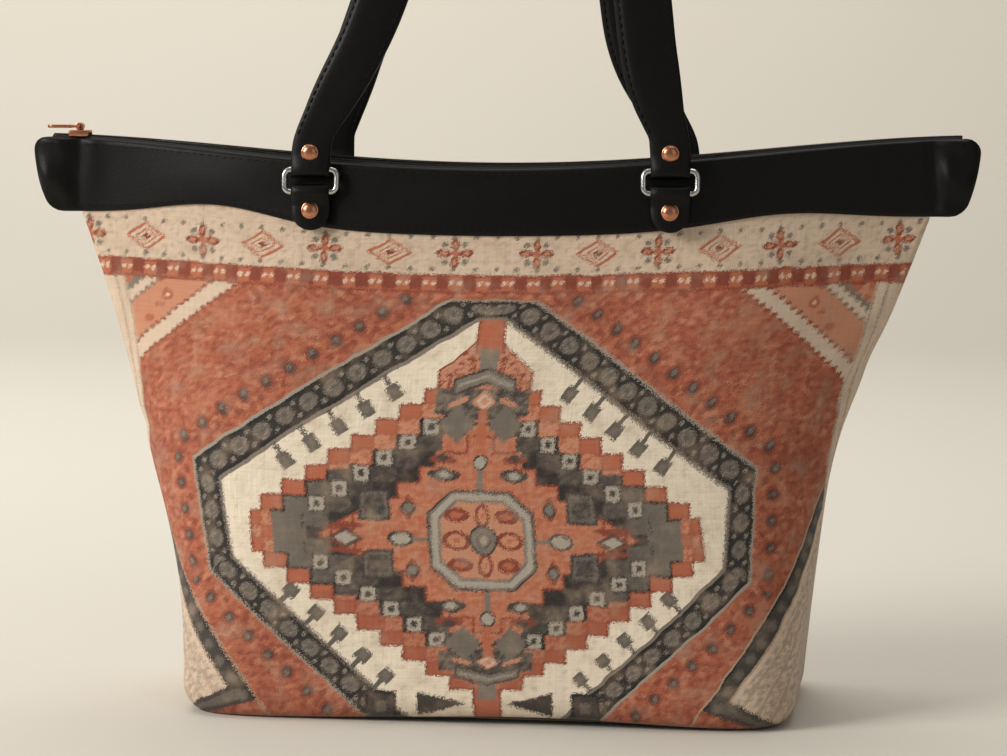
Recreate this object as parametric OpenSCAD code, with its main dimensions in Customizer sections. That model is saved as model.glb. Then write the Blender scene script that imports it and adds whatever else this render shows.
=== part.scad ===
// Tote bag of printed cloth with a black leather top band, two ring-hung handles and a zip mouth.
// Millimetres. The origin is the middle of the base on the ground, +Z is up and the front faces -Y.

/* [Body] */
// Width of the base from side to side
base_w = 285; // [260:1:330]
// Width of the body where it meets the band
top_w = 404; // [370:1:440]
// Height of the band's lower edge at the sides
body_h = 232; // [210:1:280]
// Depth of the base from front to back
base_d = 130; // [100:1:160]
// Depth of the open mouth at the rim
mouth_d = 42; // [34:1:70]
// Radius of the soft edge round the base
hem_r = 12; // [9:1:18]
// Thickness of the printed cloth with its stiffener
cloth_t = 2; // [1.5:0.1:3]
// Thickness of the base panel
base_t = 2; // [1.5:0.1:4]
// Thickness of the stiff board on the base
board_t = 3; // [2:0.1:5]
// Thickness of the lining
lining_t = 1; // [0.8:0.1:1.6]
// How far the lining's edge stays below the rim
lining_drop = 6; // [3:0.5:12]

/* [Band] */
// Length of the leather band from ear to ear
band_w = 450; // [440:1:480]
// Height of the band
band_h = 36; // [32:1:46]
// Thickness of the folded leather
band_t = 3.5; // [2.5:0.1:5]
// How far the rim sags in the middle
rim_sag = 14; // [4:0.5:18]
// How far the ears draw in at their lower corner
ear_slant = 8; // [3:0.5:14]
// Radius of the ears' upper corner
ear_r = 7; // [4:0.5:12]
// Height of cloth tucked up behind the band
tuck_h = 12; // [6:0.5:20]

/* [Zip] */
// Height of the zip tape inside the rim
tape_h = 12; // [8:0.5:13]
// Thickness of the zip tape
tape_t = 0.8; // [0.5:0.1:1.2]
// Diameter of the coil along the tape's edge
coil_d = 1.8; // [1.4:0.1:2.4]
// How far the zip stops short of each ear's end
zip_end = 9; // [6:0.5:14]
// How far the parked slider stands in from the zip's end
slider_in = 13; // [9:0.5:18]
// Length of the slider
slider_l = 10; // [8:0.5:13]
// Thickness of the slider's walls
slider_wall = 1.2; // [1:0.1:1.8]
// Diameter of the bridge that the pull turns on
bridge_d = 1.6; // [1.4:0.1:2.2]
// Length of the pull from its bridge to its tip
pull_l = 16; // [12:0.5:20]
// Width of the pull's blade
pull_w = 6; // [5:0.5:9]
// Thickness of the pull
pull_t = 1.6; // [1.2:0.1:2]

/* [Rings and tabs] */
// Distance of each tab from the bag's middle
tab_x = 84; // [70:1:110]
// Width of a tab and of a strap's folded end
tab_w = 18.6; // [15:0.2:18.8]
// Thickness of one layer of tab leather
leather_t = 2; // [1.5:0.1:2.4]
// Clear width inside a ring
ring_w = 22; // [22:0.5:26]
// Clear height inside a ring
ring_h = 7.5; // [7.5:0.5:12]
// Diameter of the ring's wire
wire_d = 2.8; // [2.4:0.1:3.4]
// Radius of the ring's corners at the middle of the wire
ring_corner_r = 3; // [2.4:0.1:3.2]
// Height from a tab's rivet to the ring's lower bar
tab_rise = 8.5; // [8.4:0.1:10]

/* [Rivets] */
// Diameter of a rivet's cap
rivet_d = 8; // [6:0.5:10]
// Height of a rivet's domed cap
rivet_h = 1.8; // [1.2:0.1:2.5]
// Diameter of a rivet's shank
shank_d = 3; // [2:0.1:4]

/* [Handles] */
// Width of a handle's strap
strap_w = 25; // [20:0.5:30]
// Thickness of the padded strap
strap_t = 6; // [4.5:0.1:8]
// Height of a handle above its rings
handle_h = 190; // [150:1:260]
// Height from the ring's upper bar to the strap's rivet
strap_rise = 8; // [7:0.5:10]
// Length of the narrow folded end of the strap
fold_l = 14; // [13:0.5:18]

/* [Hidden] */
$fn = 48;

// Clearance between a soft piece and the next one
seat_gap = 0.3;
// Room between the cloth and the lining
lining_gap = 1.2;
// Room between the band and the zip tape
tape_gap = 0.45;
// Clearance between a ring's bar and the leather folded round it
loop_gap = 0.25;
// Clearance round a rivet's shank
shank_gap = 0.1;
// Clearance of the slider over the coils and the rim
slider_gap = 0.5;
// Clearance between the pull and its bridge
pull_gap = 0.2;
// Overrun of every cut
cut = 1;

// Heights that the pieces share
rim_z = body_h + band_h;
floor_z = base_t + board_t;
tuck_z = body_h + tuck_h;
// Half of the space between the two bands at the rim
zip_gap = tape_t + coil_d * 2 / 3;
// How the section changes from a soft box at the base to a lens at the mouth
box_share = 0.25;
lens_x_share = 2 / 3;
lens_y_share = 3;
// Powers of the body's flare, of the sag's fade down the body, of the change of section and of the
// sag's fade to the ears
flare_power = 1.6;
sag_power = 3;
blend_power = 1.5;
fade_power = 2;
// Steps along a panel, along a band and round the lining's mouth
panel_steps = 26;
band_steps = 40;
wall_steps = 10;

// Shapes of the body

function clamp01(s) = max(0, min(1, s));
function mix(from, to, s) = from + (to - from) * s;
function smooth(s) = let (c = clamp01(s)) c * c * (3 - 2 * c);
function flat(rows) = [for (row = rows) each row];

function hem_inset(z) = z >= hem_r ? 0 : hem_r - sqrt(pow(hem_r, 2) - pow(hem_r - z, 2));
function rise(z) = clamp01(z / body_h);
function half_w(z) = mix(base_w, top_w, pow(rise(z), flare_power)) / 2 - hem_inset(z);
function half_d(z) = mix(base_d, mouth_d, z / rim_z) / 2 - hem_inset(z);
function x_power(z) = mix(box_share, lens_x_share, pow(rise(z), blend_power));
function y_power(z) = mix(box_share, lens_y_share, pow(rise(z), blend_power));

// The sag lowers the rim in the middle and fades out down the body and towards the ears
function sag(x, z) =
    rim_sag * pow(max(0, z - floor_z) / (rim_z - floor_z), sag_power)
    * pow(1 - clamp01(pow(2 * x / band_w, 2)), fade_power);
function soft(p) = [p.x, p.y, p.z - sag(p.x, p.z)];

// Point of the body's wall at an angle round it, drawn in by the inset
function wall(angle, z, inset) = soft([
    sign(cos(angle)) * (half_w(z) - inset) * pow(abs(cos(angle)), x_power(z)),
    -sign(sin(angle)) * (half_d(z) - inset) * pow(abs(sin(angle)), y_power(z)),
    z
]);

// Half the depth of the mouth's lens at a place along the band
function lens_y(x, z) =
    abs(x) >= half_w(z) ? 0
    : half_d(z) * pow(1 - pow(abs(x) / half_w(z), 2 / lens_x_share), lens_y_share / 2);
function band_gap(z) = mix(seat_gap, zip_gap, (z - body_h) / band_h);
function band_in(x, z) = band_gap(z) + lens_y(x, z);
function band_out(x, z) = band_in(x, z) + band_t;

// Half length of the band at a share of its height, slanted below and rounded above
function ear_x(s) =
    let (below = max(0, (s - 1) * band_h + ear_r))
    band_w / 2 - ear_slant * pow(1 - s, 2) - (ear_r - sqrt(pow(ear_r, 2) - pow(below, 2)));

// Heights of the rows that draw a wall, closer together round the hem
hem_shares = [0.35, 0.7, 1];
function wall_rows(low, high) = concat(
    [low],
    [for (share = hem_shares) mix(low, hem_r, share)],
    [for (step = [1:wall_steps]) mix(hem_r, high, step / wall_steps)]
);

// Closed solids from rows of points

function quad(a, b, c, d) = [[a, b, c], [a, c, d]];

// A sheet between an outer and an inner grid of points with as many rows and columns
module sheet(outer, inner) {
    rows = len(outer);
    cols = len(outer[0]);
    last_row = rows - 1;
    last_col = cols - 1;
    function o(r, c) = r * cols + c;
    function i(r, c) = (rows + r) * cols + c;
    polyhedron(
        points = concat(flat(outer), flat(inner)),
        faces = flat(concat(
            [for (r = [0:last_row - 1], c = [0:last_col - 1])
                quad(o(r, c), o(r, c + 1), o(r + 1, c + 1), o(r + 1, c))],
            [for (r = [0:last_row - 1], c = [0:last_col - 1])
                quad(i(r + 1, c), i(r + 1, c + 1), i(r, c + 1), i(r, c))],
            [for (c = [0:last_col - 1]) quad(o(0, c + 1), o(0, c), i(0, c), i(0, c + 1))],
            [for (c = [0:last_col - 1])
                quad(o(last_row, c), o(last_row, c + 1), i(last_row, c + 1), i(last_row, c))],
            [for (r = [0:last_row - 1]) quad(o(r, 0), o(r + 1, 0), i(r + 1, 0), i(r, 0))],
            [for (r = [0:last_row - 1])
                quad(o(r + 1, last_col), o(r, last_col), i(r, last_col), i(r + 1, last_col))]
        )),
        convexity = 6
    );
}

// A skin over closed loops of points, with flat caps on the first and the last loop
module skin(loops) {
    rows = len(loops);
    cols = len(loops[0]);
    function p(r, c) = r * cols + c % cols;
    polyhedron(
        points = flat(loops),
        faces = concat(
            flat([for (r = [0:rows - 2], c = [0:cols - 1])
                quad(p(r, c), p(r, c + 1), p(r + 1, c + 1), p(r + 1, c))]),
            [[for (c = [cols - 1:-1:0]) p(0, c)]],
            [[for (c = [0:cols - 1]) p(rows - 1, c)]]
        ),
        convexity = 6
    );
}

// Cloth body

module panel() {
    rows = wall_rows(base_t, tuck_z);
    angles = [for (step = [0:panel_steps]) 180 * step / panel_steps];
    sheet(
        [for (z = rows) [for (angle = angles) wall(angle, z, 0)]],
        [for (z = rows) [for (angle = angles) wall(angle, z, cloth_t)]]
    );
}

function wall_loop(z, inset) =
    [for (step = [0:2 * panel_steps - 1]) wall(180 * step / panel_steps, z, inset)];

function plan(z, inset) = [for (p = wall_loop(z, inset)) [p.x, p.y]];

module front_panel() {
    color("#b8623f") panel();
}

module back_panel() {
    color("#b8623f") mirror([0, 1, 0]) panel();
}

module base_panel() {
    color("#4a443e") linear_extrude(base_t) polygon(plan(base_t, 0));
}

module base_board() {
    color("#8a7a66")
        translate([0, 0, base_t]) linear_extrude(board_t) polygon(plan(base_t, cloth_t + seat_gap));
}

module lining() {
    outside = cloth_t + lining_gap;
    inside = outside + lining_t;
    rows = wall_rows(floor_z, rim_z - lining_drop);
    last = len(rows) - 1;
    color("#c9b89c") skin(concat(
        [for (z = rows) wall_loop(z, outside)],
        [for (r = [last:-1:1]) wall_loop(rows[r], inside)],
        [wall_loop(floor_z + lining_t, inside)]
    ));
}

// Leather band

// Rows of the band as shares of its height, with the leather's share of thickness there
band_row_shares = [[0, 0.6], [0.08, 1], [0.35, 1], [0.65, 1], [0.84, 1], [0.94, 1], [1, 0.6]];

module band() {
    columns = [for (step = [0:band_steps]) 1 - 2 * step / band_steps];
    function spot(u, s, out) =
        let (x = u * ear_x(s), z = body_h + s * band_h)
        soft([x, -band_in(x, z) - out, z]);
    sheet(
        [for (row = band_row_shares) [for (u = columns) spot(u, row[0], band_t * row[1])]],
        [for (row = band_row_shares) [for (u = columns) spot(u, row[0], 0)]]
    );
}

module front_band() {
    color("#171614") band();
}

module back_band() {
    color("#171614") mirror([0, 1, 0]) band();
}

// Zip

zip_half = band_w / 2 - zip_end;
slider_x = zip_half - slider_in;
tape_row_shares = [0, 0.5, 1];

module tape() {
    columns = [for (step = [0:band_steps]) 1 - 2 * step / band_steps];
    function spot(u, s, inward) =
        let (x = u * zip_half, z = rim_z - tape_h * (1 - s))
        soft([x, -band_in(x, z) + tape_gap + inward, z]);
    sheet(
        [for (s = tape_row_shares) [for (u = columns) spot(u, s, 0)]],
        [for (s = tape_row_shares) [for (u = columns) spot(u, s, tape_t)]]
    );
}

// The coil is a bead that sits on the tape's upper edge
coil_sides = 6;

module coil() {
    loops = [for (step = [0:band_steps])
        let (x = zip_half * (1 - 2 * step / band_steps))
        let (y = -band_in(x, rim_z) + tape_gap + tape_t / 2)
        [for (side = [0:coil_sides - 1])
            let (angle = 360 * side / coil_sides)
            soft([x, y, rim_z]) + [0, cos(angle) * coil_d / 2, (1 + sin(angle)) * coil_d / 2]]];
    skin(loops);
}

module front_zip_tape() {
    color("#151413") tape();
}

module back_zip_tape() {
    color("#151413") mirror([0, 1, 0]) tape();
}

module front_zip_coil() {
    color("#1d1b19") coil();
}

module back_zip_coil() {
    color("#1d1b19") mirror([0, 1, 0]) coil();
}

// The slider is a channel over both coils, with two posts that carry the pull's bridge
slider_z = rim_z - sag(slider_x, rim_z) + slider_gap;
channel_w = 2 * (zip_gap + slider_gap);
channel_h = coil_d;
slider_w = channel_w + 2 * slider_wall;
slider_h = channel_h + slider_wall;
post_w = slider_wall;
post_l = bridge_d + slider_wall;
bridge_z = slider_z + slider_h + pull_gap + (pull_t + bridge_d) / 2;
post_h = bridge_z + bridge_d / 2 - slider_z - slider_h;
eye_w = slider_w - 2 * post_w - 2 * pull_gap;

module zip_slider() {
    color("#c98a6d") translate([-slider_x, 0, 0]) {
        difference() {
            translate([-slider_l / 2, -slider_w / 2, slider_z]) cube([slider_l, slider_w, slider_h]);
            translate([-slider_l / 2 - cut, -channel_w / 2, slider_z - cut])
                cube([slider_l + 2 * cut, channel_w, channel_h + cut]);
        }
        for (side = [-1, 1])
            translate([-post_l / 2, side * (slider_w - post_w) / 2 - post_w / 2, slider_z + slider_h])
                cube([post_l, post_w, post_h]);
        translate([0, 0, bridge_z]) rotate([90, 0, 0]) cylinder(d = bridge_d, h = slider_w, center = true);
    }
}

// The pull lies along the ear, with an eye round the bridge and a rounded tip
module zip_pull() {
    eye_r = bridge_d / 2 + pull_gap + pull_t / 2;
    color("#c98a6d") translate([-slider_x, 0, bridge_z]) difference() {
        union() {
            rotate([90, 0, 0]) cylinder(r = eye_r, h = eye_w, center = true);
            translate([-slider_l / 2 - pull_w / 2, -eye_w / 2, -pull_t / 2])
                cube([slider_l / 2 + pull_w / 2, eye_w, pull_t]);
            translate([0, 0, -pull_t / 2]) linear_extrude(pull_t) {
                translate([pull_w / 2 - pull_l, 0]) circle(d = pull_w);
                translate([pull_w / 2 - pull_l, -pull_w / 2])
                    square([pull_l - pull_w / 2 - slider_l / 2 - pull_gap, pull_w]);
            }
        }
        rotate([90, 0, 0]) cylinder(d = bridge_d + 2 * pull_gap, h = eye_w + 2 * cut, center = true);
        translate([pull_w / 2 - pull_l, 0, -pull_t / 2 - cut]) cylinder(d = pull_w / 3, h = pull_t + 2 * cut);
    }
}

// Tabs and rings, in a frame that lies on the band's leaning face at the tab's rivet

tab_edge = tab_x - tab_w / 2;
face_low = soft([tab_edge, -band_out(tab_edge, body_h), body_h]);
face_high = soft([tab_edge, -band_out(tab_edge, rim_z), rim_z]);
lean = atan2(face_high.y - face_low.y, face_high.z - face_low.z);
tab_share = (tab_w / 2) / (face_high.z - face_low.z);
tab_y = mix(face_low.y, face_high.y, tab_share);
tab_z = mix(face_low.z, face_high.z, tab_share);
tongue_t = 2 * leather_t;
bore_r = wire_d / 2 + loop_gap;
loop_r = bore_r + leather_t;
bar_y = -seat_gap - loop_r;
bar_pitch = ring_h + wire_d;

module on_band(x) {
    translate([x, tab_y, tab_z]) rotate([-lean, 0, 0]) children();
}

module along_x(length, radius) {
    rotate([0, 90, 0]) cylinder(r = radius, h = length, center = true);
}

module through_y(length, diameter) {
    rotate([90, 0, 0]) cylinder(d = diameter, h = length, center = true);
}

// A tab is a tongue with a round end, folded round the ring's lower bar
module tab() {
    color("#191816") difference() {
        union() {
            translate([0, -seat_gap, 0]) rotate([90, 0, 0]) linear_extrude(tongue_t) {
                circle(d = tab_w);
                translate([-tab_w / 2, 0]) square([tab_w, tab_rise]);
            }
            translate([0, bar_y, tab_rise]) along_x(tab_w, loop_r);
        }
        translate([0, bar_y, tab_rise]) along_x(tab_w + 2 * cut, bore_r);
        translate([0, -seat_gap - tongue_t / 2, 0]) through_y(tongue_t + 2 * cut, shank_d + 2 * shank_gap);
    }
}

// A ring is four straight bars of round wire joined by quarter turns
module ring() {
    bar_x = (ring_w + wire_d) / 2;
    bar_z = bar_pitch / 2;
    straight_x = bar_x - ring_corner_r;
    straight_z = bar_z - ring_corner_r;
    color("#c9c9c6") translate([0, bar_y, tab_rise + bar_z]) {
        for (side = [-1, 1]) {
            translate([0, 0, side * bar_z]) along_x(2 * straight_x, wire_d / 2);
            translate([side * bar_x, 0, 0]) cylinder(d = wire_d, h = 2 * straight_z, center = true);
        }
        for (turn = [0:3])
            translate([turn == 0 || turn == 3 ? straight_x : -straight_x, 0,
                       turn < 2 ? straight_z : -straight_z])
                rotate([90, 0, 0]) rotate([0, 0, 90 * turn])
                    rotate_extrude(angle = 90) translate([ring_corner_r, 0]) circle(d = wire_d);
    }
}

// A rivet is a domed cap on a shank, set in from the front face
module rivet(grip) {
    dome_r = (pow(rivet_d / 2, 2) + pow(rivet_h, 2)) / (2 * rivet_h);
    color("#c98a6d") {
        rotate([90, 0, 0]) rotate_extrude() intersection() {
            translate([0, rivet_h - dome_r]) circle(r = dome_r);
            square([rivet_d / 2, rivet_h]);
        }
        translate([0, grip / 2, 0]) through_y(grip, shank_d);
    }
}

module tab_rivets() {
    for (side = [-1, 1])
        on_band(side * tab_x) translate([0, -seat_gap - tongue_t, 0]) rivet(tongue_t);
}

module front_left_tab() {
    on_band(-tab_x) tab();
}

module front_right_tab() {
    on_band(tab_x) tab();
}

module back_left_tab() {
    mirror([0, 1, 0]) on_band(-tab_x) tab();
}

module back_right_tab() {
    mirror([0, 1, 0]) on_band(tab_x) tab();
}

module front_tab_rivets() {
    tab_rivets();
}

module back_tab_rivets() {
    mirror([0, 1, 0]) tab_rivets();
}

module front_left_ring() {
    on_band(-tab_x) ring();
}

module front_right_ring() {
    on_band(tab_x) ring();
}

module back_left_ring() {
    mirror([0, 1, 0]) on_band(-tab_x) ring();
}

module back_right_ring() {
    mirror([0, 1, 0]) on_band(tab_x) ring();
}

// Handles

// Place of the ring's upper bar, which the handle turns on
pivot_up = tab_rise + bar_pitch;
pivot_y = tab_y + bar_y * cos(lean) + pivot_up * sin(lean);
pivot_z = tab_z - bar_y * sin(lean) + pivot_up * cos(lean);

// Half of the handle's line is a straight folded end and a curve up to the crown
leg_lean_share = 0.04;
leg_rise_share = 0.16;
crown_share = 0.33;
leg_steps = 20;
end_shares = [0, 0.35, 0.7];
leg_from = [tab_x, fold_l];
leg_mid = [tab_x * (1 - leg_lean_share), fold_l + handle_h * leg_rise_share];
leg_high = [tab_x * crown_share, handle_h];
leg_top = [0, handle_h];

function leg(s) =
    pow(1 - s, 3) * leg_from + 3 * s * pow(1 - s, 2) * leg_mid
    + 3 * s * s * (1 - s) * leg_high + pow(s, 3) * leg_top;
function leg_run(s) =
    pow(1 - s, 2) * (leg_mid - leg_from) + 2 * s * (1 - s) * (leg_high - leg_mid)
    + s * s * (leg_top - leg_high);

// Stations of one half: place, direction, share of the way from fold to full width, and twist
turn_from_share = 0.5;
turn_span_share = 0.45;
widen_share = 0.22;
half_stations = concat(
    [for (share = end_shares) [[tab_x, fold_l * share], [0, 1], 0, 0]],
    [for (step = [0:leg_steps])
        let (s = step / leg_steps, run = leg_run(s))
        [leg(s), run / norm(run), smooth(s / widen_share), 90 * smooth((s - turn_from_share) / turn_span_share)]]
);
half_count = len(half_stations);
stations = concat(
    half_stations,
    [for (k = [half_count - 2:-1:0])
        let (st = half_stations[k])
        [[-st[0].x, st[0].y], [st[1].x, -st[1].y], st[2], st[3]]]
);

strap_sides = 16;
edge_share = 0.55;

function strap_loop(station) =
    let (run = [station[1].x, 0, station[1].y])
    let (outward = [run.z, 0, -run.x])
    let (across = outward * cos(station[3]) + [0, sin(station[3]), 0])
    let (deep = cross(across, run))
    let (w = mix(tab_w, strap_w, station[2]) / 2, t = mix(tongue_t, strap_t, station[2]) / 2)
    [for (side = [0:strap_sides - 1])
        let (angle = 360 * (side + 1 / 2) / strap_sides)
        let (c = sign(cos(angle)) * pow(abs(cos(angle)), edge_share))
        let (s = sign(sin(angle)) * pow(abs(sin(angle)), edge_share))
        [station[0].x, pivot_y, pivot_z + station[0].y] + across * w * c + deep * t * s];

module handle() {
    color("#171614") difference() {
        union() {
            skin([for (station = stations) strap_loop(station)]);
            for (side = [-1, 1]) translate([side * tab_x, pivot_y, pivot_z]) along_x(tab_w, loop_r);
        }
        for (side = [-1, 1]) translate([side * tab_x, pivot_y, pivot_z]) {
            along_x(tab_w + 2 * cut, bore_r);
            translate([0, 0, strap_rise]) through_y(strap_t + 2 * cut, shank_d + 2 * shank_gap);
        }
    }
}

module strap_rivets() {
    for (side = [-1, 1])
        translate([side * tab_x, pivot_y - tongue_t / 2, pivot_z + strap_rise]) rivet(tongue_t);
}

module front_handle() {
    handle();
}

module back_handle() {
    mirror([0, 1, 0]) handle();
}

module front_strap_rivets() {
    strap_rivets();
}

module back_strap_rivets() {
    mirror([0, 1, 0]) strap_rivets();
}

front_panel();
back_panel();
base_panel();
base_board();
lining();
front_band();
back_band();
front_zip_tape();
back_zip_tape();
front_zip_coil();
back_zip_coil();
zip_slider();
zip_pull();
front_left_tab();
front_right_tab();
back_left_tab();
back_right_tab();
front_tab_rivets();
back_tab_rivets();
front_left_ring();
front_right_ring();
back_left_ring();
back_right_ring();
front_handle();
back_handle();
front_strap_rivets();
back_strap_rivets();
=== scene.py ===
"""Printed tote bag with leather trim: cloth shells, stitched leather and metal fittings on the frame."""
import math
from functools import partialmethod

import bmesh
import bpy
from mathutils import Matrix, Vector


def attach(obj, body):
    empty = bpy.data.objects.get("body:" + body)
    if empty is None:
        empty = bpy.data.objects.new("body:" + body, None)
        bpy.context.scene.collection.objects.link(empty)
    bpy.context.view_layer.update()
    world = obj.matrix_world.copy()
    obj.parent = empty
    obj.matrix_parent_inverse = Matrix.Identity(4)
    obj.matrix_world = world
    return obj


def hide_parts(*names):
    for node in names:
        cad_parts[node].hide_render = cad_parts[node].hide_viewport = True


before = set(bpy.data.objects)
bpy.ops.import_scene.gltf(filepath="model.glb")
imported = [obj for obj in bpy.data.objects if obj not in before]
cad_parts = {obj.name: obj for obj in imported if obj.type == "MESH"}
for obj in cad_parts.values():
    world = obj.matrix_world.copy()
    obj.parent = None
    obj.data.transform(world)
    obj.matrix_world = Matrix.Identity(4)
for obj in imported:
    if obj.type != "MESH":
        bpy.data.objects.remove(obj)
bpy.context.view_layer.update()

# Sizes of the bag in metres, as in the part's source
BASE_W, TOP_W, BASE_D, MOUTH_D = 0.285, 0.404, 0.130, 0.042
BODY_H, BAND_H, TUCK_H, HEM_R = 0.232, 0.036, 0.012, 0.012
CLOTH_T, BASE_T, BOARD_T, LINING_T, LINING_DROP = 0.002, 0.002, 0.003, 0.001, 0.006
BAND_W, BAND_T, RIM_SAG, EAR_SLANT, EAR_R = 0.450, 0.0035, 0.014, 0.008, 0.007
TAPE_H, TAPE_T, TAPE_GAP, COIL_D, ZIP_END, SLIDER_X = 0.012, 0.0008, 0.00045, 0.0018, 0.009, 0.203
TAB_X, TAB_W, LEATHER_T, RING_W, RING_H, WIRE_D = 0.084, 0.0186, 0.002, 0.022, 0.0075, 0.0028
RING_CORNER_R, TAB_RISE, RIVET_D, RIVET_H = 0.003, 0.0085, 0.008, 0.0018
STRAP_W, STRAP_T, HANDLE_H, STRAP_RISE, FOLD_L = 0.025, 0.006, 0.190, 0.008, 0.014
SEAT_GAP, LOOP_GAP, LINING_GAP = 0.0003, 0.00025, 0.0012
RIM_Z, FLOOR_Z, TUCK_Z = BODY_H + BAND_H, BASE_T + BOARD_T, BODY_H + TUCK_H
ZIP_GAP = TAPE_T + COIL_D * 2 / 3
TONGUE_T = 2 * LEATHER_T
LOOP_R = WIRE_D / 2 + LOOP_GAP + LEATHER_T
MM = 0.001
# The body flares, and its section goes from a soft rectangle at the hem to a pointed lens at the rim
FLARE, HEM_SQUARE, RIM_ROUND, RIM_POINT = 1.6, 0.25, 2 / 3, 3
# Corners closer than MERGE_GAP become one
MERGE_GAP = 1e-6


# Shape of the soft body

def mix(low, high, share):
    return low + (high - low) * share


def clamp01(share):
    return max(0.0, min(1.0, share))


def smooth(share):
    c = clamp01(share)
    return c * c * (3 - 2 * c)


def bell(value, centre, width):
    return math.exp(-((value - centre) / width) ** 2)


def signed_power(value, power):
    return math.copysign(abs(value) ** power, value)


def hem_inset(z):
    return 0.0 if z >= HEM_R else HEM_R - math.sqrt(max(0.0, HEM_R ** 2 - (HEM_R - z) ** 2))


def half_w(z):
    return mix(BASE_W, TOP_W, clamp01(z / BODY_H) ** FLARE) / 2 - hem_inset(z)


def half_d(z):
    return mix(BASE_D, MOUTH_D, z / RIM_Z) / 2 - hem_inset(z)


def sag(x, z):
    fade = 1 - clamp01((2 * x / BAND_W) ** 2)
    return RIM_SAG * (max(0.0, z - FLOOR_Z) / (RIM_Z - FLOOR_Z)) ** 3 * fade ** 2


def wall_point(angle, z, inset):
    rise = clamp01(z / BODY_H) ** 1.5
    x = (half_w(z) - inset) * signed_power(math.cos(angle), mix(HEM_SQUARE, RIM_ROUND, rise))
    y = -(half_d(z) - inset) * signed_power(math.sin(angle), mix(HEM_SQUARE, RIM_POINT, rise))
    return x, y


def lens_y(x, z):
    reach = abs(x) / half_w(z)
    return 0.0 if reach >= 1 else half_d(z) * (1 - reach ** 3) ** 1.5


def band_in(x, z):
    return mix(SEAT_GAP, ZIP_GAP, (z - BODY_H) / BAND_H) + lens_y(x, z)


def ear_x(share):
    above = max(0.0, (share - 1) * BAND_H + EAR_R)
    return BAND_W / 2 - EAR_SLANT * (1 - share) ** 2 - (EAR_R - math.sqrt(max(0.0, EAR_R ** 2 - above ** 2)))


def front_section(z, inset, count):
    """Points of the front half of a section, evenly spaced, each with its run from the print's axis."""
    fine = 720
    dense = [wall_point(math.pi * k / fine, z, inset) for k in range(fine + 1)]
    runs = [0.0]
    for before, after in zip(dense, dense[1:]):
        runs.append(runs[-1] + math.dist(before, after))
    points, k = [], 0
    for step in range(count + 1):
        goal = runs[-1] * step / count
        while k < fine - 1 and runs[k + 1] < goal:
            k += 1
        part = (goal - runs[k]) / max(1e-9, runs[k + 1] - runs[k])
        x = mix(dense[k][0], dense[k + 1][0], part)
        y = mix(dense[k][1], dense[k + 1][1], part)
        points.append((x, y, runs[-1] / 2 - goal))
    return points


# Making pieces

def shaped_grid(columns, rows, place, chart=None):
    """A grid whose corner at the shares (s, t) goes to place(s, t), with an optional map chart(s, t)."""
    bm = bmesh.new()
    bmesh.ops.create_grid(bm, x_segments=columns, y_segments=rows, size=0.5)
    shares = {vert: (vert.co.x + 0.5, vert.co.y + 0.5) for vert in bm.verts}
    if chart:
        layer = bm.loops.layers.uv.new("print")
        for face in bm.faces:
            for loop in face.loops:
                loop[layer].uv = chart(*shares[loop.vert])
    for vert, share in shares.items():
        vert.co = place(*share)
    return bm


def merge_seam(bm):
    """Merges the corners that meet where a rolled grid closes, and the cells that vanish at its poles."""
    bmesh.ops.remove_doubles(bm, verts=bm.verts, dist=MERGE_GAP)
    bmesh.ops.dissolve_degenerate(bm, edges=bm.edges, dist=MERGE_GAP / 10)


def area_of(bm):
    return sum(face.calc_area() for face in bm.faces)


def shaped_tube(columns, rows, place):
    """A grid rolled up along its rows, with its seam merged, its open ends filled and its faces outwards."""
    bm = shaped_grid(columns, rows, place)
    merge_seam(bm)
    rims = [edge for edge in bm.edges if edge.is_boundary]
    if rims:
        bmesh.ops.holes_fill(bm, edges=rims, sides=0)
    bmesh.ops.recalc_face_normals(bm, faces=bm.faces)
    return bm


def face_way(bm, outward):
    """Turns an open sheet so that most of its faces look along the outward direction."""
    if sum(face.normal.dot(outward) * face.calc_area() for face in bm.faces) < 0:
        bmesh.ops.reverse_faces(bm, faces=bm.faces)


def finish_piece(name, bm, material, body, nodes=(), sharp=None):
    """Makes a mesh object of the shape, on its body and in place of its nodes."""
    mesh = bpy.data.meshes.new(name)
    bm.normal_update()
    bm.to_mesh(mesh)
    bm.free()
    mesh.shade_smooth()
    if sharp:
        mesh.set_sharp_from_angle(angle=math.radians(sharp))
    mesh.materials.append(material)
    piece = bpy.data.objects.new(name, mesh)
    bpy.context.collection.objects.link(piece)
    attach(piece, body)
    if nodes:
        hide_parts(*nodes)
    return piece


def thicken(piece, thickness):
    wall = piece.modifiers.new("thickness", "SOLIDIFY")
    wall.thickness = thickness
    wall.offset = -1


def sew(bm, path, outward, stitch, gap, thread):
    """Adds a row of stitches along a path of points, each with the direction out of the leather there."""
    since = 0.0
    for here, there, out in zip(path, path[1:], outward):
        run = (there - here).length
        since += run
        if since < stitch + gap or run < 1e-7:
            continue
        since = 0.0
        along = (there - here).normalized()
        side = out.cross(along).normalized()
        up = along.cross(side)
        turn = Matrix((along * stitch / 2, side * thread, up * thread * 0.8)).transposed().to_4x4()
        bmesh.ops.create_uvsphere(bm, u_segments=6, v_segments=4, radius=1.0,
                                  matrix=Matrix.Translation(here) @ turn)


# Colours and node groups

def ink(code):
    """A colour written as six hex digits, in the linear values that shaders take."""
    parts = [int(code[k:k + 2], 16) / 255 for k in (0, 2, 4)]
    return tuple(p / 12.92 if p <= 0.04045 else ((p + 0.055) / 1.055) ** 2.4 for p in parts) + (1.0,)


def feed(tree, node, inputs):
    """Links a node's inputs to fields and sockets, or gives them plain values."""
    for title, value in inputs.items():
        if isinstance(value, Field):
            value = value.socket
        if isinstance(value, bpy.types.NodeSocket):
            tree.links.new(value, node.inputs[title])
        else:
            node.inputs[title].default_value = value


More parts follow.
